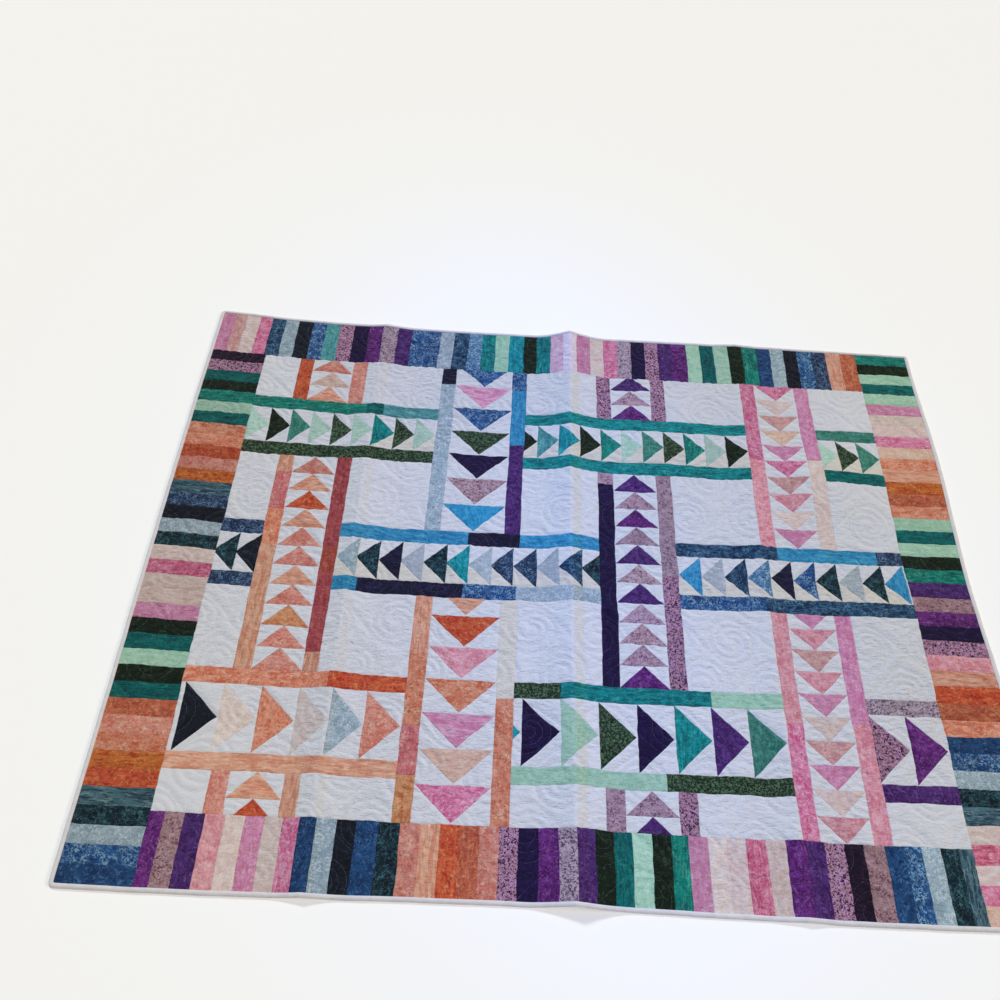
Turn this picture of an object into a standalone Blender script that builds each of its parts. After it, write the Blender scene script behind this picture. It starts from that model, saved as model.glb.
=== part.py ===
"""A pieced quilt that lies flat on the floor, with the ridges of its storage folds still in it.

Metres, +Z up. +X runs along the long side, +Y away from the near edge, and the origin is on the
floor under the quilt's middle. Plan sizes are a quilt maker's inches, turned into metres here.
"""

from math import cos, pi

import bmesh
import bpy
from mathutils import Vector

INCH = 0.0254

# The plan: a field of blocks and woven bands, a border of short strips and a binding.
FIELD_WIDTH = 64.125 * INCH
FIELD_DEPTH = 49.125 * INCH
BORDER_WIDTH = 5.75 * INCH
BINDING_WIDTH = 0.375 * INCH

# The build-up of the cloth.
QUILT_THICKNESS = 0.0045
BINDING_THICKNESS = 0.0046
BINDING_WALL = 0.0010
BINDING_FOLD = 0.0009
PIECE_GAP = 0.0003

# Outside the borders, the quilt is pinched flat where the binding wraps it.
PINCH_START = BINDING_WIDTH + 0.0030
PINCH_END = BINDING_WIDTH + 0.0005
TAB_EDGE = BINDING_WALL + PIECE_GAP
TAB_UNDER = BINDING_WALL + PIECE_GAP
TAB_OVER = BINDING_THICKNESS - BINDING_WALL - PIECE_GAP

HALF_FIELD_WIDTH = FIELD_WIDTH / 2
HALF_FIELD_DEPTH = FIELD_DEPTH / 2
HALF_WIDTH = HALF_FIELD_WIDTH + BORDER_WIDTH + BINDING_WIDTH
HALF_DEPTH = HALF_FIELD_DEPTH + BORDER_WIDTH + BINDING_WIDTH

# The longest stretch between two lines of the mesh.
LONGEST_SPAN_X = 0.105
LONGEST_SPAN_Y = 0.120
# A mesh line closer than this to a piece's own edge is left out of that piece.
CLOSEST_LINE = 0.0015

# Folds left by storage. Each is a ridge with its sharp crest on a line from the far edge to the
# near edge, and flanks that flatten out. Heights are of the crest, at both edges and midway. What
# a fold draws in is the plan width that it takes out of the cloth; below 0, the cloth is slack.
FOLD_COLUMNS = (
    "x_far", "x_near", "high_far", "high_mid", "high_near",
    "reach_left", "reach_right", "drawn_far", "drawn_near",
)
FOLDS = (
    (-0.500, -0.494, 0.008, 0.013, 0.010, 0.075, 0.085, -0.006, 0.022),
    (0.012, 0.026, 0.026, 0.019, 0.023, 0.095, 0.105, 0.002, -0.008),
    (0.478, 0.466, 0.005, 0.009, 0.006, 0.080, 0.070, -0.006, 0.006),
)
FLANK_POWER = 1.6
# How far past a ridge the cloth beside it is still drawn towards the crest.
DRAW_FADE = 0.33
# Where a ridge gets its mesh lines, as parts of its reach.
FLANK_STEPS = (1.0, 0.5, 0.2)

# Low swells, where the cloth doesn't lie quite flat between the ridges.
SWELL_COLUMNS = ("x", "y", "reach_x", "reach_y", "high")
SWELLS = (
    (-0.745, 0.470, 0.240, 0.210, 0.007),
    (-0.250, 0.240, 0.230, 0.190, 0.005),
    (-0.700, -0.260, 0.220, 0.240, 0.004),
    (0.300, -0.360, 0.250, 0.180, 0.004),
    (0.270, 0.400, 0.200, 0.220, 0.005),
    (0.660, 0.290, 0.200, 0.200, 0.014),
    (0.760, -0.120, 0.180, 0.240, 0.004),
)

# How the patchwork has pulled out of square. Each row moves a place by its amounts times powers of
# its distances to the right and to the far side, which are 1 at the edges.
SKEW_COLUMNS = ("right_power", "far_power", "moved_x", "moved_y")
SKEWS = (
    (1, 1, 0.000, -0.011),
    (2, 0, 0.000, 0.006),
    (0, 2, 0.003, 0.000),
    (2, 1, 0.000, 0.004),
    (1, 2, 0.000, -0.006),
)

# How far the quilting draws each edge in between the places where it keeps its full size.
EDGE_COLUMNS = ("depth", "waves", "phase")
EDGES = {
    "left": (0.001, 1.20, 0.14),
    "right": (0.009, 2.20, 0.37),
    "near": (0.008, 1.27, 0.905),
    "far": (0.011, 1.10, 0.19),
}
# How far from its edge the draw-in dies out.
EDGE_FADE = 0.40

# The left border, which was sewn on a little crooked: the middle of the pulled part, how far it
# reaches, and how far the middle has moved.
PULL = {"x": -0.97, "y": 0.40, "reach_x": 0.24, "reach_y": 0.95, "moved_x": -0.003, "moved_y": 0.010}

PALE_CLOTH = (0.76, 0.74, 0.79, 1.0)
WHITE_CLOTH = (0.80, 0.78, 0.77, 1.0)
BORDER_CLOTHS = {
    "border_top": (0.24, 0.22, 0.33, 1.0),
    "border_right": (0.38, 0.26, 0.26, 1.0),
    "border_bottom": (0.30, 0.19, 0.28, 1.0),
    "border_left": (0.22, 0.24, 0.22, 1.0),
}
CLOTH_ROUGHNESS = 0.85
CREASE_ANGLE = pi / 4


def drawn_in(edge, along):
    """How far an edge is drawn in, at a place from 0 to 1 along it."""
    wave = dict(zip(EDGE_COLUMNS, EDGES[edge]))
    return wave["depth"] * (1 - cos(2 * pi * (wave["waves"] * along + wave["phase"]))) / 2


def edge_hold(inside):
    """How much of its edge's draw-in a place this far inside takes part in."""
    return max(0.0, 1 - inside / EDGE_FADE) ** 2


def far_share(y):
    """0 at the near edge and 1 at the far edge."""
    return (y + HALF_DEPTH) / (2 * HALF_DEPTH)


def right_share(x):
    """0 at the left edge and 1 at the right edge."""
    return (x + HALF_WIDTH) / (2 * HALF_WIDTH)


def from_crest(fold, x, y):
    """How far a place is to the right of a fold's crest, and the fold's reach on that side."""
    away = x - fold["x_near"] - (fold["x_far"] - fold["x_near"]) * far_share(y)
    return away, fold["reach_left"] if away < 0 else fold["reach_right"]


def fold_draw(fold, x, y):
    """How far one ridge draws a place towards its crest, to the right."""
    away, reach = from_crest(fold, x, y)
    drawn = fold["drawn_near"] + (fold["drawn_far"] - fold["drawn_near"]) * far_share(y)
    fade = min(1.0, max(0.0, 1 - (abs(away) - reach) / DRAW_FADE))
    beside = fade**2 * (3 - 2 * fade)
    return -drawn / 2 * max(-beside, min(beside, away / reach))


def fold_height(fold, x, y):
    """The height of one ridge over the floor."""
    share = far_share(y)
    away, reach = from_crest(fold, x, y)
    nearness = max(0.0, 1 - abs(away) / reach)
    ends = fold["high_near"] + (fold["high_far"] - fold["high_near"]) * share
    ends_mid = (fold["high_near"] + fold["high_far"]) / 2
    crest = ends + 4 * share * (1 - share) * (fold["high_mid"] - ends_mid)
    return crest * nearness**FLANK_POWER


def swell_height(swell, x, y):
    """The height of one low swell over the floor."""
    off_x = (x - swell["x"]) / swell["reach_x"]
    off_y = (y - swell["y"]) / swell["reach_y"]
    away = min(1.0, (off_x**2 + off_y**2) ** 0.5)
    return swell["high"] * (1 + cos(pi * away)) / 2


def lifted(x, y):
    """How far the underside is off the floor at a place in the plan."""
    folds = sum(fold_height(dict(zip(FOLD_COLUMNS, row)), x, y) for row in FOLDS)
    swells = sum(swell_height(dict(zip(SWELL_COLUMNS, row)), x, y) for row in SWELLS)
    return folds + swells


def pull_share(x, y):
    """How much of the left border's pull a place takes part in."""
    off = ((x - PULL["x"]) / PULL["reach_x"]) ** 2 + ((y - PULL["y"]) / PULL["reach_y"]) ** 2
    return max(0.0, 1 - off) ** 2


def moved(x, y):
    """Where a place in the square plan goes once the cloth is skewed, drawn in and folded."""
    right = right_share(x)
    far = far_share(y)
    moved_x = x + drawn_in("left", far) * edge_hold(HALF_WIDTH + x)
    moved_x -= drawn_in("right", far) * edge_hold(HALF_WIDTH - x)
    moved_y = y + drawn_in("near", right) * edge_hold(HALF_DEPTH + y)
    moved_y -= drawn_in("far", right) * edge_hold(HALF_DEPTH - y)
    for row in SKEWS:
        skew = dict(zip(SKEW_COLUMNS, row))
        powers = (x / HALF_WIDTH) ** skew["right_power"] * (y / HALF_DEPTH) ** skew["far_power"]
        moved_x += skew["moved_x"] * powers
        moved_y += skew["moved_y"] * powers
    moved_x += PULL["moved_x"] * pull_share(x, y)
    moved_y += PULL["moved_y"] * pull_share(x, y)
    moved_x += sum(fold_draw(dict(zip(FOLD_COLUMNS, row)), x, y) for row in FOLDS)
    return moved_x, moved_y


def outline_middle():
    """The middle of the outline's box, which goes over the origin."""
    across = [across_at(line, side) for line in lines_across() for side in (-HALF_DEPTH, HALF_DEPTH)]
    along = [line[0] for line in lines_along()] + [-HALF_DEPTH, HALF_DEPTH]
    sides = [moved(side, y)[0] for side in (-HALF_WIDTH, HALF_WIDTH) for y in along]
    ends = [moved(x, side)[1] for side in (-HALF_DEPTH, HALF_DEPTH) for x in across]
    return (min(sides) + max(sides)) / 2, (min(ends) + max(ends)) / 2


def laid(x, y, level):
    """Where a place in the plan lies, at a level within the thickness of the cloth."""
    moved_x, moved_y = moved(x, y)
    return Vector((moved_x - MIDDLE_X, moved_y - MIDDLE_Y, lifted(x, y) + level))


def edge_distance(x, y):
    """The distance to the nearest outside edge in the plan."""
    return min(HALF_WIDTH - abs(x), HALF_DEPTH - abs(y))


def pinch_share(x, y):
    """0 in the full cloth and 1 in the tab inside the binding."""
    share = (PINCH_START - edge_distance(x, y)) / (PINCH_START - PINCH_END)
    return min(1.0, max(0.0, share))


def filled(fixed, longest):
    """The fixed lines, with evenly spaced lines added in each stretch that is too long."""
    lines = [fixed[0]]
    for line in fixed[1:]:
        before = lines[-1]
        steps = max(1, round(abs(line[0] - before[0]) / longest + 0.49))
        for step in range(1, steps + 1):
            share = step / steps
            lines.append(tuple(a + (b - a) * share for a, b in zip(before, line)))
    return lines


def edge_lines(half_size, half_field):
    """The lines that every piece keeps: both seams and the pinches at both outside edges."""
    places = (half_size - TAB_EDGE, half_size - PINCH_END, half_size - PINCH_START, half_field)
    return sorted([(side * place, side * place) for side in (-1, 1) for place in places])


def lines_across():
    """The mesh lines that run from near to far, each as its x at the near and the far edge."""
    fixed = edge_lines(HALF_WIDTH, HALF_FIELD_WIDTH)
    for row in FOLDS:
        fold = dict(zip(FOLD_COLUMNS, row))
        reaches = [-fold["reach_left"] * step for step in FLANK_STEPS] + [0.0]
        reaches += [fold["reach_right"] * step for step in FLANK_STEPS]
        fixed += [(fold["x_near"] + reach, fold["x_far"] + reach) for reach in reaches]
    return filled(sorted(fixed), LONGEST_SPAN_X)


def lines_along():
    """The mesh lines that run from left to right, each as its y at the left and the right edge."""
    return filled(edge_lines(HALF_DEPTH, HALF_FIELD_DEPTH), LONGEST_SPAN_Y)


def within(lines, low, high):
    """The lines well inside a piece, with its own two edges added."""
    inside = [line for line in lines if low + CLOSEST_LINE < min(line)]
    inside = [line for line in inside if max(line) < high - CLOSEST_LINE]
    return [(low, low)] + inside + [(high, high)]


def across_at(line, y):
    return line[0] + (line[1] - line[0]) * far_share(y)


MIDDLE_X, MIDDLE_Y = outline_middle()


def material(name, colour):
    made = bpy.data.materials.new(name)
    made.use_nodes = True
    shader = made.node_tree.nodes["Principled BSDF"]
    shader.inputs["Base Color"].default_value = colour
    shader.inputs["Roughness"].default_value = CLOTH_ROUGHNESS
    shader.inputs["Metallic"].default_value = 0.0
    made.diffuse_color = colour
    return made


def finished(name, shape, colour, quilt):
    """Makes the bmesh a named object under the quilt's empty."""
    bmesh.ops.recalc_face_normals(shape, faces=shape.faces)
    mesh = bpy.data.meshes.new(name)
    shape.to_mesh(mesh)
    shape.free()
    mesh.shade_smooth()
    mesh.set_sharp_from_angle(angle=CREASE_ANGLE)
    mesh.materials.append(material(name + "_cloth", colour))
    made = bpy.data.objects.new(name, mesh)
    made.parent = quilt
    bpy.context.scene.collection.objects.link(made)
    return made


def quilted_panel(name, low_x, high_x, low_y, high_y, colour, quilt):
    """A panel of quilted cloth: its underside is laid as a grid, then extruded to its top."""
    across = within(lines_across(), low_x, high_x)
    along = within(lines_along(), low_y, high_y)
    shape = bmesh.new()
    rises = {}
    grid = []
    for y, _ in along:
        row = []
        for line in across:
            x = across_at(line, y)
            pinch = pinch_share(x, y)
            vert = shape.verts.new(laid(x, y, TAB_UNDER * pinch))
            top = QUILT_THICKNESS + (TAB_OVER - QUILT_THICKNESS) * pinch
            rises[tuple(vert.co)] = top - TAB_UNDER * pinch
            row.append(vert)
        grid.append(row)
    for near, far in zip(grid, grid[1:]):
        for left in range(len(across) - 1):
            shape.faces.new((near[left], near[left + 1], far[left + 1], far[left]))
    raised = bmesh.ops.extrude_face_region(shape, geom=shape.faces[:])["geom"]
    for vert in raised:
        if isinstance(vert, bmesh.types.BMVert):
            vert.co.z += rises[tuple(vert.co)]
    return finished(name, shape, colour, quilt)


def binding_section():
    """The folded strip in section, as distances from the outside edge and levels."""
    outer = BINDING_THICKNESS
    inner = BINDING_THICKNESS - BINDING_WALL
    return (
        (BINDING_WIDTH, 0.0),
        (BINDING_FOLD, 0.0),
        (0.0, BINDING_FOLD),
        (0.0, outer - BINDING_FOLD),
        (BINDING_FOLD, outer),
        (BINDING_WIDTH, outer),
        (BINDING_WIDTH, inner),
        (BINDING_WALL, inner),
        (BINDING_WALL, BINDING_WALL),
        (BINDING_WIDTH, BINDING_WALL),
    )


def folded_binding(name, runs_across, side, colour, quilt):
    """A binding strip along one side: its section swept from one mitred corner to the other."""
    half_run = HALF_WIDTH if runs_across else HALF_DEPTH
    half_off = HALF_DEPTH if runs_across else HALF_WIDTH
    mitre = PIECE_GAP / 2**0.5
    section = binding_section()
    lines = lines_across() if runs_across else lines_along()
    stations = [line for line in lines if max(map(abs, line)) < half_run - BINDING_WIDTH - mitre]
    shape = bmesh.new()
    rings = []
    for number in range(-1, len(stations) + 1):
        ring = []
        for inward, level in section:
            off = side * (half_off - inward)
            if 0 <= number < len(stations):
                line = stations[number]
                run = across_at(line, off) if runs_across else line[0]
            else:
                run = (half_run - inward - mitre) * (-1 if number < 0 else 1)
            x, y = (run, off) if runs_across else (off, run)
            ring.append(shape.verts.new(laid(x, y, level)))
        rings.append(ring)
    corners = len(section)
    for before, after in zip(rings, rings[1:]):
        for corner in range(corners):
            other = (corner + 1) % corners
            shape.faces.new((before[corner], before[other], after[other], after[corner]))
    shape.faces.new(rings[0])
    shape.faces.new(rings[-1])
    return finished(name, shape, colour, quilt)


def main():
    for thing in list(bpy.data.objects):
        bpy.data.objects.remove(thing, do_unlink=True)
    quilt = bpy.data.objects.new("quilt", None)
    bpy.context.scene.collection.objects.link(quilt)

    half_gap = PIECE_GAP / 2
    left = -HALF_WIDTH + TAB_EDGE
    right = HALF_WIDTH - TAB_EDGE
    near = -HALF_DEPTH + TAB_EDGE
    far = HALF_DEPTH - TAB_EDGE
    seam_x = HALF_FIELD_WIDTH
    seam_y = HALF_FIELD_DEPTH
    quilted_panel(
        "centre", half_gap - seam_x, seam_x - half_gap, half_gap - seam_y, seam_y - half_gap,
        PALE_CLOTH, quilt,
    )
    # The far border covers the left corner, and the right border covers both of its corners.
    border_plans = {
        "border_top": (left, seam_x - half_gap, seam_y + half_gap, far),
        "border_right": (seam_x + half_gap, right, near, far),
        "border_bottom": (half_gap - seam_x, seam_x - half_gap, near, -seam_y - half_gap),
        "border_left": (left, -seam_x - half_gap, near, seam_y - half_gap),
    }
    for name, plan in border_plans.items():
        quilted_panel(name, *plan, BORDER_CLOTHS[name], quilt)
    for name, runs_across, side in (
        ("binding_top", True, 1),
        ("binding_right", False, 1),
        ("binding_bottom", True, -1),
        ("binding_left", False, -1),
    ):
        folded_binding(name, runs_across, side, WHITE_CLOTH, quilt)


main()
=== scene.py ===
from math import ceil, cos, pi, radians, sin

import bmesh
import bpy
import numpy as np
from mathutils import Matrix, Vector, kdtree


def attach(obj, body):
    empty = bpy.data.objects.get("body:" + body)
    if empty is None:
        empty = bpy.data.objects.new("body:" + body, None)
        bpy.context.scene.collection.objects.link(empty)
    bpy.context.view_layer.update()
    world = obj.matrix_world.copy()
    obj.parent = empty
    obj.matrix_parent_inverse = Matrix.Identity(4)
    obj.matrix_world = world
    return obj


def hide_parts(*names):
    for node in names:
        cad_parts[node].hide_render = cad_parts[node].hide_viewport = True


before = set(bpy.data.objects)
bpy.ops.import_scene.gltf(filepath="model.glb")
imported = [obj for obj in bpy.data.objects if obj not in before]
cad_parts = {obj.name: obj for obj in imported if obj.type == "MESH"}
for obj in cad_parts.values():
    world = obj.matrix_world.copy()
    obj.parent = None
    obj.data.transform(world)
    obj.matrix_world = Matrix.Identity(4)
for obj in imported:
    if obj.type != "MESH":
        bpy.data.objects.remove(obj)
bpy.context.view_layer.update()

inch = 0.0254


# how the whole quilt lies: the same plan and folds as its solids, in metres

quilt = {
    "fieldWide": 64.125, "fieldDeep": 49.125,  # inches
    "border": 5.75, "binding": 0.375,  # inches
    "cell": 0.125,  # inches, the grid that every seam falls on
}

ridges = (
    {"far": -0.500, "near": -0.494, "heights": (0.010, 0.013, 0.008), "reach": (0.075, 0.085),
     "drawnFar": -0.006, "drawnNear": 0.022},
    {"far": 0.012, "near": 0.026, "heights": (0.023, 0.019, 0.026), "reach": (0.095, 0.105),
     "drawnFar": 0.002, "drawnNear": -0.008},
    {"far": 0.478, "near": 0.466, "heights": (0.006, 0.009, 0.005), "reach": (0.080, 0.070),
     "drawnFar": -0.006, "drawnNear": 0.006},
)
flankPower = 1.6
drawFade = 0.33

swells = (
    {"at": (-0.745, 0.470), "reach": (0.240, 0.210), "high": 0.007},
    {"at": (-0.250, 0.240), "reach": (0.230, 0.190), "high": 0.005},
    {"at": (-0.700, -0.260), "reach": (0.220, 0.240), "high": 0.004},
    {"at": (0.300, -0.360), "reach": (0.250, 0.180), "high": 0.004},
    {"at": (0.270, 0.400), "reach": (0.200, 0.220), "high": 0.005},
    {"at": (0.660, 0.290), "reach": (0.200, 0.200), "high": 0.014},
    {"at": (0.760, -0.120), "reach": (0.180, 0.240), "high": 0.004},
)

skews = (  # power across, power along, then how far that moves the cloth in x and y
    (1, 1, 0.000, -0.011),
    (2, 0, 0.000, 0.006),
    (0, 2, 0.003, 0.000),
    (2, 1, 0.000, 0.004),
    (1, 2, 0.000, -0.006),
)

edgeWaves = {  # depth, waves and phase of how the quilting draws each edge in
    "left": (0.001, 1.20, 0.14),
    "right": (0.009, 2.20, 0.37),
    "near": (0.008, 1.27, 0.905),
    "far": (0.011, 1.10, 0.19),
}
edgeFade = 0.40  # how far inside its edge the draw-in dies out

pull = {"at": (-0.97, 0.40), "reach": (0.24, 0.95), "by": (-0.003, 0.010)}  # the left border, sewn crooked

rim = quilt["border"] + quilt["binding"]
halfWide = (quilt["fieldWide"] / 2 + rim) * inch
halfDeep = (quilt["fieldDeep"] / 2 + rim) * inch


def softened(share):
    # from 0 to 1 with a gentle start and end
    return share**2 * (3 - 2 * share)


def bell(x, y, area):
    # 1 in the middle of an area, down to 0 at its rim and beyond
    offX = (x - area["at"][0]) / area["reach"][0]
    offY = (y - area["at"][1]) / area["reach"][1]
    return (1 + np.cos(pi * np.minimum(1, np.hypot(offX, offY)))) / 2


def drawnIn(edge, along):
    depth, waves, phase = edgeWaves[edge]
    return depth * (1 - np.cos(2 * pi * (waves * along + phase))) / 2


def edgeHold(inside):
    return np.maximum(0, 1 - inside / edgeFade) ** 2


def farShare(y):
    return (y + halfDeep) / (2 * halfDeep)


def fromCrest(ridge, x, y):
    away = x - ridge["near"] - (ridge["far"] - ridge["near"]) * farShare(y)
    return away, np.where(away < 0, ridge["reach"][0], ridge["reach"][1])


def liftAt(x, y):
    # how far the underside is off the floor
    share = farShare(y)
    lift = np.zeros_like(x)
    for ridge in ridges:
        away, reach = fromCrest(ridge, x, y)
        near, mid, far = ridge["heights"]
        crest = near + (far - near) * share + 4 * share * (1 - share) * (mid - (near + far) / 2)
        lift += crest * np.maximum(0, 1 - np.abs(away) / reach) ** flankPower
    for swell in swells:
        lift += swell["high"] * bell(x, y, swell)
    return lift


def movedTo(x, y):
    right = (x + halfWide) / (2 * halfWide)
    far = farShare(y)
    movedX = x + drawnIn("left", far) * edgeHold(halfWide + x)
    movedX = movedX - drawnIn("right", far) * edgeHold(halfWide - x)
    movedY = y + drawnIn("near", right) * edgeHold(halfDeep + y)
    movedY = movedY - drawnIn("far", right) * edgeHold(halfDeep - y)
    for across, along, byX, byY in skews:
        powers = (x / halfWide) ** across * (y / halfDeep) ** along
        movedX = movedX + byX * powers
        movedY = movedY + byY * powers
    off = sum(((place - at) / reach) ** 2 for place, at, reach in zip((x, y), pull["at"], pull["reach"]))
    pulled = np.maximum(0, 1 - off) ** 2
    movedX = movedX + pull["by"][0] * pulled
    movedY = movedY + pull["by"][1] * pulled
    for ridge in ridges:
        away, reach = fromCrest(ridge, x, y)
        drawn = ridge["drawnNear"] + (ridge["drawnFar"] - ridge["drawnNear"]) * far
        fade = np.clip(1 - (np.abs(away) - reach) / drawFade, 0, 1)
        beside = softened(fade)
        movedX = movedX - drawn / 2 * np.clip(away / reach, -beside, beside)
    return movedX, movedY


def outlineMiddle():
    run = np.linspace(-1, 1, 400)  # enough places along an edge to find its waves
    side = np.ones_like(run)
    across = [movedTo(end * side * halfWide, run * halfDeep)[0] for end in (-1, 1)]
    along = [movedTo(run * halfWide, end * side * halfDeep)[1] for end in (-1, 1)]
    return (np.min(across) + np.max(across)) / 2, (np.min(along) + np.max(along)) / 2


middleX, middleY = outlineMiddle()


def laid(x, y, level):
    movedX, movedY = movedTo(x, y)
    return movedX - middleX, movedY - middleY, liftAt(x, y) + level


# the cloths: dye, second colour and light colour, then how much marbling, streaking and flecking they have

cloths = {
    "white": ((238, 238, 242), (229, 231, 238), (243, 243, 247), 0.5, 0.0, 0.2),
    "warmWhite": ((237, 231, 220), (229, 223, 212), (242, 238, 232), 0.6, 0.0, 0.2),
    "cream": ((242, 226, 220), (230, 202, 194), (248, 240, 236), 0.8, 0.2, 0.3),
    "sand": ((238, 218, 210), (222, 192, 182), (246, 234, 228), 0.8, 0.2, 0.4),
    "blush": ((230, 184, 178), (210, 146, 150), (246, 220, 214), 0.9, 0.2, 0.4),
    "whitePink": ((238, 236, 248), (230, 212, 236), (246, 244, 251), 0.8, 0.2, 0.4),
    "pinkMauve": ((226, 156, 192), (206, 124, 166), (244, 204, 228), 0.9, 0.3, 0.35),
    "hotPink": ((240, 158, 192), (218, 106, 150), (252, 216, 230), 1.0, 0.2, 0.3),
    "raspberry": ((228, 130, 160), (200, 82, 118), (248, 200, 212), 1.0, 0.4, 0.3),
    "coralPink": ((244, 180, 190), (224, 134, 150), (252, 216, 222), 0.9, 0.2, 0.4),
    "pinkStreak": ((238, 174, 204), (222, 138, 176), (250, 220, 234), 0.9, 0.8, 0.3),
    "lilacPink": ((244, 212, 234), (228, 180, 212), (250, 236, 246), 0.9, 0.3, 0.35),
    "coralRed": ((226, 136, 136), (206, 98, 104), (246, 198, 190), 0.9, 0.3, 0.4),
    "coral": ((232, 162, 146), (212, 118, 102), (248, 208, 186), 0.9, 0.2, 0.4),
    "redOrange": ((222, 104, 66), (194, 66, 44), (242, 168, 108), 1.0, 0.3, 0.3),
    "orange": ((238, 164, 134), (218, 120, 88), (250, 212, 182), 1.0, 0.3, 0.4),
    "amber": ((220, 124, 56), (190, 78, 36), (240, 174, 96), 1.0, 0.5, 0.3),
    "peach": ((238, 182, 154), (222, 148, 120), (250, 216, 192), 0.9, 0.8, 0.2),
    "palePeach": ((238, 208, 192), (224, 176, 156), (248, 230, 216), 0.8, 0.3, 0.3),
    "gold": ((230, 166, 122), (208, 124, 80), (244, 204, 152), 1.0, 0.3, 0.4),
    "brick": ((180, 84, 86), (152, 56, 66), (210, 126, 118), 0.9, 0.3, 0.3),
    "rust": ((186, 88, 74), (158, 58, 52), (216, 128, 104), 0.9, 0.3, 0.3),
    "brownOrange": ((210, 116, 84), (180, 82, 60), (238, 168, 124), 1.0, 0.3, 0.4),
    "darkPurple": ((32, 16, 68), (20, 8, 46), (62, 42, 102), 0.7, 0.1, 0.2),
    "purple": ((86, 47, 122), (62, 26, 90), (126, 90, 162), 0.9, 0.1, 0.3),
    "magentaPurple": ((120, 48, 138), (82, 24, 98), (162, 98, 178), 0.9, 0.1, 0.3),
    "blackPurple": ((36, 16, 44), (22, 8, 30), (80, 50, 90), 0.7, 0.1, 0.2),
    "mauvePrint": ((208, 158, 194), (184, 138, 156), (88, 48, 94), 0.8, 0.1, 1.0),
    "mauvePink": ((204, 172, 190), (182, 148, 160), (120, 86, 118), 0.8, 0.1, 0.7),
    "paleMauve": ((192, 164, 182), (168, 138, 152), (112, 78, 110), 0.8, 0.1, 0.7),
    "mauveGrey": ((210, 188, 204), (182, 162, 176), (112, 84, 114), 0.8, 0.1, 0.85),
    "tanMauve": ((210, 184, 194), (186, 152, 160), (134, 90, 106), 0.8, 0.1, 0.75),
    "taupe": ((196, 162, 168), (168, 132, 136), (120, 74, 92), 0.9, 0.2, 0.7),
    "tealGreen": ((4, 156, 156), (0, 104, 110), (72, 206, 194), 0.9, 0.5, 0.3),
    "jade": ((78, 152, 136), (42, 118, 102), (124, 192, 170), 0.9, 0.3, 0.3),
    "teal": ((4, 168, 182), (0, 120, 134), (90, 214, 220), 0.9, 0.5, 0.3),
    "lightTeal": ((98, 172, 176), (60, 138, 146), (150, 216, 206), 0.9, 0.4, 0.3),
    "greenTeal": ((0, 114, 113), (0, 76, 80), (36, 152, 136), 0.9, 0.5, 0.3),
    "green": ((6, 148, 128), (0, 102, 98), (94, 200, 168), 0.9, 0.5, 0.3),
    "mint": ((188, 228, 202), (160, 208, 180), (212, 242, 224), 0.8, 0.3, 0.3),
    "paleMint": ((200, 231, 216), (174, 214, 196), (224, 241, 233), 0.8, 0.3, 0.3),
    "deepGreen": ((16, 34, 18), (10, 22, 10), (54, 84, 56), 0.8, 0.1, 0.3),
    "greenPrint": ((30, 52, 36), (18, 34, 20), (92, 120, 88), 0.7, 0.1, 0.85),
    "navy": ((20, 26, 40), (12, 15, 26), (48, 60, 84), 0.8, 0.1, 0.2),
    "navyPurple": ((28, 26, 60), (18, 16, 40), (54, 52, 98), 0.8, 0.1, 0.2),
    "navyPrint": ((36, 60, 98), (20, 38, 70), (114, 146, 180), 0.9, 0.2, 0.6),
    "blue": ((36, 82, 134), (20, 54, 100), (86, 134, 180), 0.9, 0.1, 0.2),
    "bluePrint": ((34, 88, 150), (18, 56, 110), (140, 182, 214), 0.8, 0.1, 0.65),
    "skyBlue": ((62, 162, 208), (36, 128, 178), (112, 202, 230), 0.9, 0.5, 0.3),
    "cyan": ((56, 166, 214), (36, 138, 190), (104, 206, 240), 0.9, 0.4, 0.3),
    "greyBlue": ((174, 195, 207), (144, 168, 182), (210, 226, 234), 0.9, 0.1, 0.7),
    "paleGrey": ((190, 200, 210), (166, 178, 190), (216, 224, 230), 0.9, 0.2, 0.4),
    "blueGreyPrint": ((90, 140, 182), (60, 108, 152), (172, 206, 230), 0.8, 0.1, 0.75),
    "navyTeal": ((36, 78, 116), (16, 46, 80), (108, 156, 184), 1.0, 0.4, 0.5),
    "darkTeal": ((12, 46, 58), (6, 24, 36), (74, 124, 134), 1.0, 0.3, 0.5),
    "greyTeal": ((78, 116, 132), (44, 76, 92), (138, 172, 180), 1.0, 0.8, 0.3),
}


# the patch plan, in inches from the field's far left corner

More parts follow.
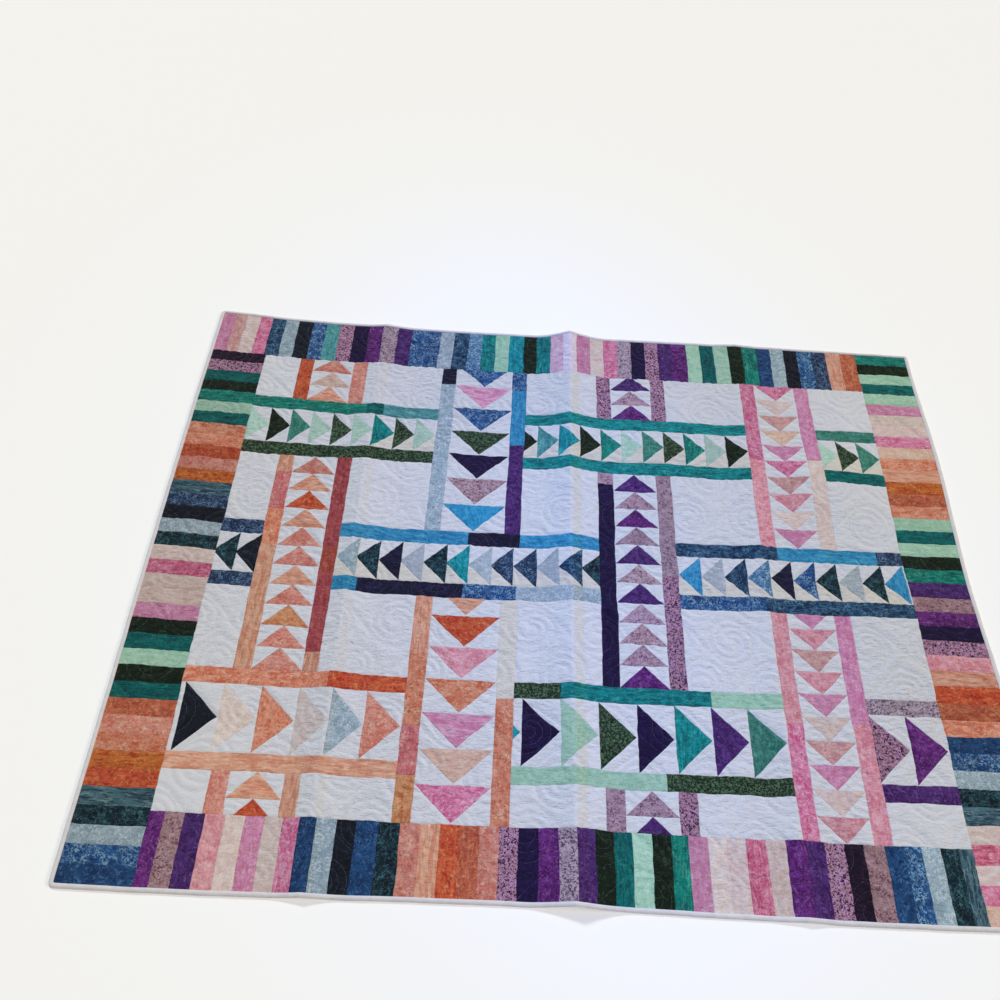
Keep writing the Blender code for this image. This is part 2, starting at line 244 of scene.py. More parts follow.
bands = (
    {
        "piece": "bandA", "along": "down", "start": 3.875, "goose": 4.25, "pitches": (2.125,), "points": -1,
        "runs": (
            {"from": 0, "to": 6, "countedFrom": "to",
             "geese": "coral palePeach peach",
             "first": (("redOrange", 6),), "second": (("coral", 6),)},
            {"from": 13.25, "to": 36.625, "countedFrom": "from",
             "geese": "coral peach redOrange peach coral coral peach coral gold coral coral",
             "first": (("peach", 15.3), ("coralRed", 19.7), ("orange", 23.8), ("peach", 36.625)),
             "second": (("brick", 23.8), ("rust", 26.6), ("brick", 34.8), ("peach", 36.625))},
            {"from": 45.625, "to": 49.125, "countedFrom": "from",
             "geese": "peach redOrange",
             "first": (("coral", 49.125),), "second": (("peach", 49.125),)},
        ),
    },
    {
        "piece": "bandB", "along": "down", "start": 19.125, "goose": 6, "pitches": (3.125,), "points": 1,
        "runs": (
            {"from": 0, "to": 21.25, "countedFrom": "to",
             "geese": "bluePrint pinkStreak bluePrint greenPrint darkPurple tanMauve cyan",
             "first": (("navyPurple", 2.4), ("greyBlue", 21.25)),
             "second": (("bluePrint", 2.75), ("skyBlue", 10.3), ("purple", 21.25))},
            {"from": 28.5, "to": 49.125, "countedFrom": "to",
             "geese": "peach redOrange coralPink orange pinkStreak palePeach hotPink",
             "first": (("peach", 34.4), ("orange", 40.9), ("coralRed", 45.3), ("gold", 49.125)),
             "second": (("warmWhite", 38.1), ("orange", 49.125))},
        ),
    },
    {
        "piece": "bandC", "along": "down", "start": 35.5, "goose": 4.25, "pitches": (2.125,), "points": -1,
        "runs": (
            {"from": 0, "to": 6, "countedFrom": "to",
             "geese": "purple mauvePink magentaPurple",
             "first": (("mauvePrint", 6),), "second": (("mauvePrint", 6),)},
            {"from": 13.25, "to": 36.625, "countedFrom": "from",
             "geese": "purple mauvePink magentaPurple paleMauve purple tanMauve purple mauvePink "
                      "tanMauve mauvePink magentaPurple",
             "first": (("mauvePink", 14.6), ("darkPurple", 36.625)),
             "second": (("mauvePink", 25), ("mauvePrint", 36.625))},
            {"from": 45.625, "to": 49.125, "countedFrom": "from",
             "geese": "paleMauve purple",
             "first": (("paleMauve", 49.125),), "second": (("mauvePrint", 49.125),)},
        ),
    },
    {
        "piece": "bandD", "along": "down", "start": 50.75, "goose": 4.25, "pitches": (2.125,), "points": 1,
        "runs": (
            {"from": 0, "to": 21.25, "countedFrom": "from",
             "geese": "hotPink cream blush palePeach pinkMauve hotPink blush coralPink cream pinkMauve",
             "first": (("hotPink", 10.6), ("coralPink", 21.25)),
             "second": (("pinkMauve", 10.5), ("cream", 21.25))},
            {"from": 28.5, "to": 49.125, "countedFrom": "to",
             "geese": "pinkMauve coralPink blush coralPink pinkMauve cream blush pinkMauve cream coralPink",
             "first": (("coralPink", 39.2), ("hotPink", 49.125)),
             "second": (("pinkMauve", 39), ("coralPink", 49.125))},
        ),
    },
    {
        "piece": "bandOne", "along": "across", "start": 6, "goose": 4.25, "pitches": (2.125,), "points": 1,
        "runs": (
            {"from": 0, "to": 19.125, "countedFrom": "from",
             "geese": "paleMint deepGreen jade paleMint greenPrint paleMint tealGreen greenPrint paleMint",
             "first": (("green", 11.8), ("greenTeal", 13.5), ("lightTeal", 19.125)),
             "second": (("greenPrint", 19.125),)},
            {"from": 28.125, "to": 50.75, "countedFrom": "to",
             "geese": "deepGreen lightTeal teal deepGreen green paleMint jade greenPrint "
                      "green paleMint deepGreen",
             "first": (("tealGreen", 50.75),), "second": (("tealGreen", 50.75),)},
            {"from": 58, "to": 64.125, "countedFrom": "to",
             "geese": "paleMint greenPrint jade",
             "first": (("jade", 64.125),), "second": (("greenTeal", 64.125),)},
        ),
    },
    {
        "piece": "bandTwo", "along": "across", "start": 21.25, "goose": 4.25,
        "pitches": (2.125, 2), "points": -1,
        "runs": (
            {"from": 0, "to": 3.875, "countedFrom": "to",
             "geese": "darkTeal navy",
             "first": (("navyPrint", 3.875),), "second": (("navyPrint", 3.875),)},
            {"from": 11.125, "to": 35.5, "countedFrom": "from",
             "geese": "greyBlue darkTeal navyPurple paleGrey darkTeal teal paleGrey navyPrint "
                      "navyPrint paleGrey navyTeal darkTeal",
             "first": (("skyBlue", 23.3), ("navyPurple", 28.1), ("skyBlue", 35.5)),
             "second": (("skyBlue", 13.5), ("navyPurple", 23.1), ("bluePrint", 28), ("greyBlue", 35.5))},
            {"from": 42.75, "to": 64.125, "countedFrom": "from", "pitches": (2.125,),
             "geese": "skyBlue paleGrey navyTeal blueGreyPrint navyPurple bluePrint darkTeal paleGrey "
                      "darkTeal skyBlue",
             "first": (("navyTeal", 52.2), ("skyBlue", 61.6), ("navyPrint", 64.125)),
             "second": (("bluePrint", 50.5), ("navyTeal", 64.125))},
        ),
    },
    {
        "piece": "bandThree", "along": "across", "start": 36.625, "goose": 6, "pitches": (3.125,),
        "points": 1,
        "runs": (
            {"from": 0, "to": 19.125, "countedFrom": "to",
             "geese": "navy cream orange cream greyBlue coral",
             "first": (("orange", 12.25), ("redOrange", 19.125)),
             "second": (("peach", 19.125),)},
            {"from": 28.125, "to": 50.75, "countedFrom": "to",
             "geese": "teal darkPurple mint greenPrint darkPurple tealGreen purple jade",
             "first": (("greenPrint", 32), ("tealGreen", 44.6), ("mint", 50.75)),
             "second": (("mint", 40.4), ("greenPrint", 50.75))},
            {"from": 58, "to": 64.125, "countedFrom": "to",
             "geese": "mauvePrint magentaPurple",
             "first": (("mauveGrey", 64.125),), "second": (("purple", 64.125),)},
        ),
    },
)
sashWide = 1.5
warmCorners = {"bands": ("bandOne", "bandTwo"), "past": 11}  # a creamier white on the geese's near side

whiteBlocks = {
    "across": ((0, 3.875), (11.125, 19.125), (28.125, 35.5), (42.75, 50.75), (58, 64.125)),
    "down": ((0, 6), (13.25, 21.25), (28.5, 36.625), (45.625, 49.125)),
}

borders = (  # eased: from place to place along it, how far the seams are from an even share, in inches
    {
        "piece": "borderTop", "along": "across", "side": (-1, -1, 1, 0),
        "eased": ((-5, 0), (-3, -0.4), (1, -0.6), (7, -0.55), (13, -0.3), (20, -0.15), (28, -0.1),
                  (33, -0.4), (60, -0.5), (64, 0)),
        "strips": "pinkMauve blush cream hotPink "
                  "navyTeal greyBlue navy bluePrint lightTeal "
                  "mauvePrint darkPurple magentaPurple mauveGrey purple "
                  "bluePrint bluePrint greyBlue navyTeal blueGreyPrint "
                  "tealGreen mint teal deepGreen tealGreen "
                  "lilacPink whitePink pinkMauve cream hotPink "
                  "mauveGrey darkPurple mauvePrint purple magentaPurple "
                  "mint greenTeal mint deepGreen green "
                  "blue greyBlue navy bluePrint navyPrint "
                  "peach brownOrange",
    },
    {
        "piece": "borderRight", "along": "down", "side": (1, -1, 2, 2), "eased": ((0, 0),),
        "strips": "green deepGreen mint greenTeal mint "
                  "pinkMauve sand sand hotPink palePeach "
                  "orange peach amber brownOrange orange "
                  "mint greenTeal mint deepGreen green "
                  "purple taupe magentaPurple darkPurple mauvePrint "
                  "coralPink peach redOrange brownOrange orange "
                  "blue bluePrint greyBlue darkTeal greyTeal "
                  "cream raspberry cream hotPink palePeach",
    },
    {
        "piece": "borderBottom", "along": "across", "side": (0, 1, 1, 2),
        "eased": ((0, -0.2), (2, -0.35), (13, -0.35), (19, 0.5), (32, 0.5), (37, 0.1), (45, 0),
                  (51, 0.3), (57, 0.6), (64, 0.35)),
        "strips": "magentaPurple taupe purple "
                  "coralPink cream pinkMauve cream hotPink "
                  "blue greyBlue navy blue darkTeal "
                  "coral peach redOrange brownOrange coral "
                  "mauvePrint darkPurple magentaPurple mauveGrey purple "
                  "deepGreen greenTeal mint deepGreen green "
                  "pinkMauve cream cream raspberry sand "
                  "magentaPurple purple mauvePrint blackPurple taupe "
                  "blue bluePrint greyBlue darkTeal greyTeal",
    },
    {
        "piece": "borderLeft", "along": "down", "side": (-1, 0, 0, 2),
        "eased": ((0, 0), (3, -0.1), (18, -0.4), (28, -0.35), (50, 0)),
        "strips": "blackPurple mauvePrint "
                  "greenTeal deepGreen green mint greenTeal "
                  "orange orange redOrange coral amber "
                  "greyTeal navyPrint navy greyBlue darkTeal "
                  "cream raspberry sand sand pinkMauve "
                  "deepGreen greenTeal mint deepGreen greenTeal "
                  "brownOrange coral orange amber redOrange "
                  "greyTeal darkTeal greyBlue bluePrint blue",
    },
)

pieceNames = ["whiteGround"] + [row["piece"] for row in bands + borders]


# the grid: every cell of the plan is two triangles, and every triangle has its patch

cell = quilt["cell"]
cellsWide = round((quilt["fieldWide"] + 2 * rim) / cell)
cellsDeep = round((quilt["fieldDeep"] + 2 * rim) / cell)
columnOf, rowOf = np.meshgrid(np.arange(cellsWide), np.arange(cellsDeep))
slash = (columnOf + rowOf) % 2 == 0  # which way a cell is split, leaning like / or like its mirror image
patchOf = np.full((cellsDeep, cellsWide, 2), -1)
patches = []


def cellsIn(box):
    u0, v0, u1, v1 = [round((edge + rim) / cell) for edge in box]
    return slice(v0, v1), slice(u0, u1)


def centroids(rows, columns):
    # the middles of both triangles of each cell, in inches from the field's corner
    lean = slash[rows, columns]
    shareU = np.stack([np.full(lean.shape, 1 / 3), np.full(lean.shape, 2 / 3)], axis=2)
    shareV = np.where(lean[..., None], shareU, 1 - shareU)
    u = (columnOf[rows, columns][..., None] + shareU) * cell - rim
    v = (rowOf[rows, columns][..., None] + shareV) * cell - rim
    return u, v


def boxAlong(along, low, high, side, otherSide):
    # a box from low to high along its band, and from side to side across it
    return (side, low, otherSide, high) if along == "down" else (low, side, high, otherSide)


def sewPatch(piece, cloth, box, mask=None):
    rows, columns = cellsIn(box)
    if rows.stop <= rows.start or columns.stop <= columns.start:
        return
    number = len(patches)
    upright = rows.stop - rows.start > columns.stop - columns.start
    patches.append((pieceNames.index(piece), cloth, upright))
    part = patchOf[rows, columns]
    part[... if mask is None else mask] = number


def middleOf(band):
    # the line that its geese point along, and half a goose's width
    half = band["goose"] / 2
    return band["start"] + sashWide + half, half


def sewGoose(band, cloth, low, high, base):
    # one goose with its two white corners; low and high are where the unit shows
    centre, half = middleOf(band)
    down = band["along"] == "down"
    box = boxAlong(band["along"], low, high, centre - half, centre + half)
    rows, columns = cellsIn(box)
    side = (columnOf if down else rowOf)[rows, columns]
    slash[rows, columns] = ((side + 0.5) * cell - rim - centre) * band["points"] > 0
    u, v = centroids(rows, columns)
    along, across = (v, u) if down else (u, v)
    reach = (along - base) * band["points"]
    inGoose = (reach > 0) & (reach + np.abs(across - centre) < half)
    sewPatch(band["piece"], cloth, box, inGoose)
    warm = band["piece"] in warmCorners["bands"] and low > warmCorners["past"]
    sewPatch(band["piece"], "white", box, ~inGoose & (across < centre))
    sewPatch(band["piece"], "warmWhite" if warm else "white", box, ~inGoose & (across > centre))


def sewRun(band, run):
    cloth = run["geese"].split()
    pitches = run.get("pitches", band["pitches"])
    starts = np.concatenate([[0], np.cumsum([pitches[k % len(pitches)] for k in range(len(cloth))])])
    starts = starts + (run["from"] if run["countedFrom"] == "from" else run["to"] - starts[-1])
    for name, low, high in zip(cloth, starts, starts[1:]):
        base = low if band["points"] > 0 else high
        sewGoose(band, name, max(low, run["from"]), min(high, run["to"]), base)
    for sash, offset in (("first", 0), ("second", sashWide + band["goose"])):
        low = run["from"]
        for name, high in run[sash]:
            side = band["start"] + offset
            sewPatch(band["piece"], name, boxAlong(band["along"], low, high, side, side + sashWide))
            low = high


def borderBox(border):
    # in the side row, 0 and 1 are the field's edges, and -1 and 2 are the border's
    sizes = (quilt["fieldWide"], quilt["fieldDeep"]) * 2
    edge = quilt["border"]
    return [(-edge, 0, size, size + edge)[step + 1] for step, size in zip(border["side"], sizes)]


def sewBorder(border):
    names = border["strips"].split()
    u0, v0, u1, v1 = borderBox(border)
    # one cell more goes under the binding
    outU0, outU1 = u0 - cell * (u0 < 0), u1 + cell * (u1 > quilt["fieldWide"])
    outV0, outV1 = v0 - cell * (v0 < 0), v1 + cell * (v1 > quilt["fieldDeep"])
    if border["along"] == "across":
        low, high, outer, sides = u0, u1, (outU0, outU1), (outV0, outV1)
    else:
        low, high, outer, sides = v0, v1, (outV0, outV1), (outU0, outU1)
    even = np.linspace(low, high, len(names) + 1)
    seams = low + np.round((even + np.interp(even, *zip(*border["eased"])) - low) / cell) * cell
    seams[0], seams[-1] = outer
    for name, start, end in zip(names, seams, seams[1:]):
        sewPatch(border["piece"], name, boxAlong(border["along"], start, end, *sides))


def sewTop():
    for u0, u1 in whiteBlocks["across"]:
        for v0, v1 in whiteBlocks["down"]:
            sewPatch("whiteGround", "white", (u0, v0, u1, v1))
    for band in bands:
        for run in band["runs"]:
            # white first, for a sliver that the geese leave open
            centre, half = middleOf(band)
            box = boxAlong(band["along"], run["from"], run["to"], centre - half, centre + half)
            sewPatch(band["piece"], "white", box)
            sewRun(band, run)
    for border in borders:
        sewBorder(border)


sewTop()
print("patches sewn:", len(patches))


# the quilting: rows of swirls joined by long arcs, from edge to edge

swirls = {
    "wide": 0.150, "rowPitch": 0.114, "radius": 0.058,
    "firstRow": 0.046,  # from the far edge
    "stagger": 0.5,  # how much of a swirl every other row starts earlier
    "turns": 1.5, "tightening": 1.2,  # above 1, the turns are closer together near the eye
    "eye": 0.008,
    "unsteady": 0.0070,
    "step": 0.0022, "shortest": 6,  # the fewest steps worth sewing
    "clear": 0.001,  # of the binding
    "driftFrom": 0.2,  # of the radius, where the arc starts to make for the next foot
    "samples": {"turns": 140, "hook": 16, "arc": 60},
    "seed": 11,
}


def oneSwirl(wide, radius):
    # from the foot of the swirl, in and out again, then along the arc to the next foot
    total = 2 * pi * swirls["turns"]
    eye, samples = swirls["eye"], swirls["samples"]

    def reachAt(turned):
        return eye + (radius - eye) * (1 - turned / total) ** swirls["tightening"]

    inward = np.linspace(0, total, samples["turns"])
    angle = inward - pi / 2
    going = np.stack([reachAt(inward) * np.cos(angle), reachAt(inward) * np.sin(angle)], axis=1)
    last = angle[-1]
    out = np.array([cos(last), sin(last)])
    ahead = np.array([-sin(last), cos(last)])
    gap = reachAt(total - pi) - eye
    bend = np.linspace(0, pi, samples["hook"])[1:-1, None]
    hook = (eye + gap / 2) * out + gap / 2 * (-np.cos(bend) * out + np.sin(bend) * ahead)
    outward = inward[inward >= pi][::-1]
    angle = outward - pi / 2
    reach = reachAt(outward - pi)
    coming = np.stack([reach * np.cos(angle), reach * np.sin(angle)], axis=1)
    share = np.linspace(0, 1, samples["arc"])[1:-1]
    start = coming[-1]
    arcX = start[0] + (wide - start[0]) * share
    arcY = start[1] + (-radius - start[1]) * softened(share)
    arc = np.stack([arcX, arcY], axis=1)
    return np.concatenate([going, hook, coming, arc])


def spacedOut(line, step):
    lengths = np.concatenate([[0], np.cumsum(np.hypot(*np.diff(line, axis=0).T))])
    places = np.arange(0, lengths[-1], step)
    return np.stack([np.interp(places, lengths, line[:, k]) for k in (0, 1)], axis=1)


def quiltingLines():
    chance = np.random.default_rng(swirls["seed"])
    wide, pitch = swirls["wide"], swirls["rowPitch"]
    limitX = halfWide - quilt["binding"] * inch - swirls["clear"]
    limitY = halfDeep - quilt["binding"] * inch - swirls["clear"]
    lines = []
    for row in range(int(2 * halfDeep / pitch) + 2):
        y = halfDeep - swirls["firstRow"] - row * pitch
        x = -halfWide - wide * (1 + swirls["stagger"] * (row % 2))
        over = 1 - 2 * (row % 2)  # every other row is turned over
        feet = []
        while x < halfWide + wide:
            feet.append((x, y) + tuple(chance.uniform(-1, 1, 3) * swirls["unsteady"]))
            x += wide
        swirled = []
        for here, after in zip(feet, feet[1:]):
            radius = swirls["radius"] + here[4]
            swirl = oneSwirl(wide + after[2] - here[2], radius) * (1, over)
            past = radius * swirls["driftFrom"]
            share = np.clip((swirl[:, 0] - past) / (wide - past), 0, 1)[:, None]
            drift = np.array([0, after[3] - here[3]])
            swirled.append(swirl + (here[0] + here[2], here[1] + here[3]) + share**2 * drift)
        line = spacedOut(np.concatenate(swirled), swirls["step"])
        inside = (np.abs(line[:, 0]) < limitX) & (np.abs(line[:, 1]) < limitY)
        breaks = np.flatnonzero(np.diff(inside.astype(int))) + 1
        for stretch, kept in zip(np.split(line, breaks), np.split(inside, breaks)):
            if kept[0] and len(stretch) > swirls["shortest"]:
                lines.append(stretch)
    return lines


sewnLines = quiltingLines()
print("quilting lines:", len(sewnLines), "of", round(sum(map(len, sewnLines)) * swirls["step"]), "m")


def fromQuilting(x, y):
    # the distance from each place in the plan to the nearest line of quilting
    points = np.concatenate(sewnLines)
    tree = kdtree.KDTree(len(points))
    for number, (px, py) in enumerate(points):
        tree.insert((px, py, 0.0), number)
    tree.balance()
    find = tree.find
    flat = zip(x.ravel().tolist(), y.ravel().tolist())
    return np.array([find((px, py, 0.0))[2] for px, py in flat]).reshape(x.shape)


def between(grid, rows, columns, a, b):
    # a value between four neighbours in a grid, a of the way across and b of the way down
    upper = grid[rows[0], columns[0]] * (1 - a) + grid[rows[0], columns[1]] * a
    lower = grid[rows[1], columns[0]] * (1 - a) + grid[rows[1], columns[1]] * a
    return upper * (1 - b) + lower * b


lumps = {
    "layers": ((0.8, 1.0), (0.5, 1.73)),  # height, and how much finer
    "turn": 0.3, "knots": 128,
    "start": 1000,  # keeps every place on the positive side
}


def softNoise(x, y, size, seed, longer=1.0):
    # lumps of about the given size, mostly within -1 to 1, and longer in x where wanted
    chance = np.random.default_rng(seed)
    total = np.zeros_like(x)
    many = lumps["knots"]
    for height, finer in lumps["layers"]:
        turn = chance.uniform(-lumps["turn"], lumps["turn"])
        knots = chance.uniform(-1, 1, (many, many))
        u = (x * cos(turn) + y * sin(turn)) * 2 * finer / (size * longer) + lumps["start"]
        v = (y * cos(turn) - x * sin(turn)) * 2 * finer / size + lumps["start"]
        column, row = np.floor(u).astype(int), np.floor(v).astype(int)
        a, b = softened(u - column), softened(v - row)
        rows, columns = (row % many, (row + 1) % many), (column % many, (column + 1) % many)
        total += height * between(knots, rows, columns, a, b)
    return total


# the top's shape, at each corner of the grid

cornerX = -halfWide + np.arange(cellsWide + 1) * cell * inch
cornerY = halfDeep - np.arange(cellsDeep + 1) * cell * inch
planX, planY = np.meshgrid(cornerX, cornerY)


def cornersOf(rows, columns, lean):
    # the grid numbers of both triangles of a cell, going round from above
    wide = cellsWide + 1
    farLeft = rows * wide + columns
    farRight, nearLeft, nearRight = farLeft + 1, farLeft + wide, farLeft + wide + 1
    leaning = (farLeft, nearLeft, farRight), (nearRight, farRight, nearLeft)
    mirrored = (farLeft, nearLeft, nearRight), (farLeft, nearRight, farRight)
    both = [np.where(lean[..., None], np.stack(one, -1), np.stack(other, -1))
            for one, other in zip(leaning, mirrored)]
    return np.stack(both, axis=2)


triangles = cornersOf(rowOf, columnOf, slash)  # rows, columns, two, three corners


def seamCorners():
    # where cloths of two patches meet
    corners = (cellsWide + 1) * (cellsDeep + 1)
    lowest = np.full(corners, len(patches))
    highest = np.full(corners, -1)
    used = patchOf.ravel() >= 0
    numbers = np.repeat(patchOf.ravel()[used], 3)
    places = triangles.reshape(-1, 3)[used].ravel()
    np.minimum.at(lowest, places, numbers)
    np.maximum.at(highest, places, numbers)
    return (highest > lowest).reshape(planX.shape)


onSeam = seamCorners()

topShape = {
    "stitchedLevel": 0.0027,  # the top over the underside, where the quilting holds it down
    "puff": 0.0025, "puffReach": 0.0060, "puffPower": 1.6,
    "puffSteady": 0.55,  # the share of the puff that is the same all over
    "puffUneven": 0.25, "puffLumps": (0.06, 3),  # size and seed
    "wrinkles": (  # size, height, how much longer than wide, and seed
        (0.0105, 0.00085, 2.8, 5),
        (0.0190, 0.00075, 1.5, 6),
        (0.0090, 0.00030, 1.2, 8),
        (0.1500, 0.00090, 1.0, 9),
    ),
    "wrinkleHeld": 0.35,  # the share of a wrinkle that is left along the quilting
    "crinkled": (  # where the top is smoother or more wrinkled than elsewhere, and by what share
        {"at": (-0.85, -0.60), "reach": (0.50, 0.62), "more": -0.75},
        {"at": (0.86, 0.44), "reach": (0.42, 0.60), "more": -0.50},
        {"at": (0.90, -0.66), "reach": (0.46, 0.36), "more": -0.55},
        {"at": (0.02, -0.78), "reach": (0.95, 0.42), "more": -0.35},
        {"at": (-0.30, 0.62), "reach": (0.46, 0.44), "more": 0.65},
        {"at": (0.20, 0.12), "reach": (0.50, 0.36), "more": 0.20},
    ),
    "leastRelief": 0.2, "mostRelief": 1.8,
    "seamDip": 0.0005,
    "wobbles": ((0.110, 0.0016, 51), (0.034, 0.0006, 61)),  # size, how far it moves a seam, and seed
    "edgeFall": 0.012,  # how far from the binding the wadding thins out
    "edgeLevel": 0.0034,
}


def inFromBinding():
    # 0 at the binding and 1 where the wadding has its full depth
    inside = np.minimum(halfWide - np.abs(planX), halfDeep - np.abs(planY)) - quilt["binding"] * inch
    return softened(np.clip(inside / topShape["edgeFall"], 0, 1))


def reliefAt(x, y):
    # how wrinkled the top is, where 1 is the usual
    share = np.ones_like(x)
    for area in topShape["crinkled"]:
        share += area["more"] * bell(x, y, area)
    return np.clip(share, topShape["leastRelief"], topShape["mostRelief"])


relief = reliefAt(planX, planY)


def topLevel():
    shape = topShape
    puffed = 1 - np.exp(-(fromQuilting(planX, planY) / shape["puffReach"]) ** shape["puffPower"])
    steady, held = shape["puffSteady"], shape["wrinkleHeld"]
    puff = shape["puff"] * (steady + (1 - steady) * relief)
    uneven = 1 + shape["puffUneven"] * softNoise(planX, planY, *shape["puffLumps"])
    level = shape["stitchedLevel"] + puff * puffed * uneven
    for size, high, longer, seed in shape["wrinkles"]:
        lumpy = softNoise(planX, planY, size, seed, longer)
        level += high * relief * lumpy * (held + (1 - held) * puffed)
    level -= shape["seamDip"] * onSeam
    return shape["edgeLevel"] + (level - shape["edgeLevel"]) * inFromBinding()


def wobbled():
    # seams are never quite straight
    freely = inFromBinding()
    x, y = planX.copy(), planY.copy()
    for size, far, seed in topShape["wobbles"]:
        x += far * freely * softNoise(planX, planY, size, seed)
        y += far * freely * softNoise(planX, planY, size, seed + 1)
    return x, y


topX, topY, topZ = laid(*wobbled(), topLevel())
print("top shaped:", topZ.size, "corners")


# painted warm light: a cream tint on the right-hand flanks of two folds, standing in for warm light from the
# right
foldLightPainting = {
    "folds": (  # which ridge, from and to how far right of its crest, and how strong
        (0, 0.004, 0.028, 0.40),
        (1, 0.004, 0.031, 0.85),
    ),
    "rise": 0.006, "fall": 0.007,  # how soft each side is
    "patchy": 0.2, "patches": (0.07, 41),  # size and seed
}


def paintedFoldLights():
    # painted warm light on the side of a fold that faces right, a cream tint where warm light from the right
    # would fall, as shares from 0 to 1
    marks = np.zeros_like(planX)
    patchy = foldLightPainting["patchy"]
    strong = 1 - patchy + patchy * softNoise(planX, planY, *foldLightPainting["patches"])
    for number, low, high, strength in foldLightPainting["folds"]:
        away, _ = fromCrest(ridges[number], planX, planY)
        rise = np.clip((away - low) / foldLightPainting["rise"], 0, 1)
        fall = np.clip((high - away) / foldLightPainting["fall"], 0, 1)
        marks = np.maximum(marks, strength * np.minimum(rise, fall) * strong)
    return np.clip(marks, 0, 1)


foldLightShares = paintedFoldLights()


# shader maths: a socket that can be added, taken away, multiplied and raised

class Wire:
    def __init__(self, tree, socket=None):
        self.tree = tree
        self.socket = socket

    def node(self, kind, settings, values, output=0):
        made = self.tree.nodes.new(kind)
        for setting, value in settings.items():
            setattr(made, setting, value)
        for entry, value in values.items():
            if isinstance(value, Wire):
                self.tree.links.new(value.socket, made.inputs[entry])
            else:
                made.inputs[entry].default_value = value
        return Wire(self.tree, made.outputs[output])

    def maths(self, operation, one, other):
        return self.node("ShaderNodeMath", {"operation": operation}, {0: one, 1: other})

    def __add__(self, other):
        return self.maths("ADD", self, other)

    def __radd__(self, other):
        return self.maths("ADD", other, self)

    def __sub__(self, other):
        return self.maths("SUBTRACT", self, other)

    def __rsub__(self, other):
        return self.maths("SUBTRACT", other, self)

    def __mul__(self, other):
        return self.maths("MULTIPLY", self, other)

    def __rmul__(self, other):
        return self.maths("MULTIPLY", other, self)

    def __pow__(self, other):
        return self.maths("POWER", self, other)

    def ramp(self, low, high):
        smooth = {"interpolation_type": "SMOOTHSTEP"}
        return self.node("ShaderNodeMapRange", smooth, {0: self, 1: low, 2: high})

    def into(self, shader, entry):
        self.tree.links.new(self.socket, shader.inputs[entry])


def noise(places, scale, detail, rough, distortion):
    # scale is how many to a metre
    values = {"Vector": places, "Scale": scale, "Detail": detail}
    values.update({"Roughness": rough, "Distortion": distortion})
    return places.node("ShaderNodeTexNoise", {}, values)


def stretched(places, scale):
    return places.node("ShaderNodeVectorMath", {"operation": "MULTIPLY"}, {0: places, 1: scale})


def mixed(share, one, other, blend="MIX"):
    settings = {"data_type": "RGBA", "blend_type": blend}
    return share.node("ShaderNodeMix", settings, {0: share, 6: one, 7: other}, 2)


def bumped(height, distance, strength, before=None):
    values = {"Strength": strength, "Distance": distance, "Height": height}
    if before:
        values["Normal"] = before
    return height.node("ShaderNodeBump", {}, values)


def linear(colour):
    # from a colour as a screen has it, out of 255, to shares of light
    share = np.array(colour) / 255
    return np.where(share <= 0.04045, share / 12.92, ((share + 0.055) / 1.055) ** 2.4)


def setInputs(node, values):
    for entry, value in values.items():
        node.inputs[entry].default_value = value


def newCotton(name, sheen):
    # a matt cotton, without its colour, roughness and bump
    material = bpy.data.materials.new(name)
    material.use_nodes = True
    shader = material.node_tree.nodes["Principled BSDF"]
    setInputs(shader, {"Sheen Weight": sheen, "Sheen Roughness": 0.4, "Specular IOR Level": 0.25})
    return material, shader, Wire(material.node_tree)


patchFinish = {
    "roughness": 0.88, "roughnessUneven": 0.12, "sheen": 0.05,
    # noises of the dye: scale, detail, roughness and distortion
    "blotch": (30.0, 3.0, 0.6, 0.8), "mottle": (80.0, 4.0, 0.65, 1.2), "speck": (250.0, 2.0, 0.6, 0.3),
    "marbling": {"blotch": 0.45, "mottle": 0.55, "edge": (0.44, 0.56), "share": 0.75},
    "specks": {"edge": (0.42, 0.58), "share": 0.25},
    "streak": (20.0, 130.0, 1.0), "length": (1.0, 3.0, 0.6, 0.9), "lengthEdge": (0.43, 0.57),
    "cloud": (64.0, 4.0, 0.7, 2.0), "cloudEdge": (0.52, 0.66), "cloudShare": 0.75,
    "lightLength": (1.4, 3.0, 0.6, 1.2), "lightLengthEdge": (0.53, 0.66),
    "cloudLeast": (0.0, 0.55),  # how free of flecks a cloth is before it has clouds
    "fleckArea": (48.0, 2.0, 0.5, 0.4), "fleckAreaEdge": (0.68, 0.92), "fleckSpread": 0.5,
    "fleck": (210.0, 1.5, 0.5, 1.2), "fleckEdge": (0.50, 0.57), "fleckShare": (0.5, 0.45),
    # the first two of these paint shade: the colour darkens towards each seam line, by this much
    "seamPower": 3.0, "paintedSeamShade": 0.08, "seamBump": (0.0004, 0.6),  # height and strength
    # the tint of the painted warm light on the folds' right flanks
    "paintedWarmTint": (1.0, 0.94, 0.77, 1.0),
    "weave": 1900.0, "weaveUneven": 0.6, "weaveBump": (0.00012, 0.25),
    "crumple": (75.0, 180.0, 110.0), "crumpleNoise": (1.0, 3.0, 0.6, 0.7), "crumpleBump": (0.0042, 1.0),
}


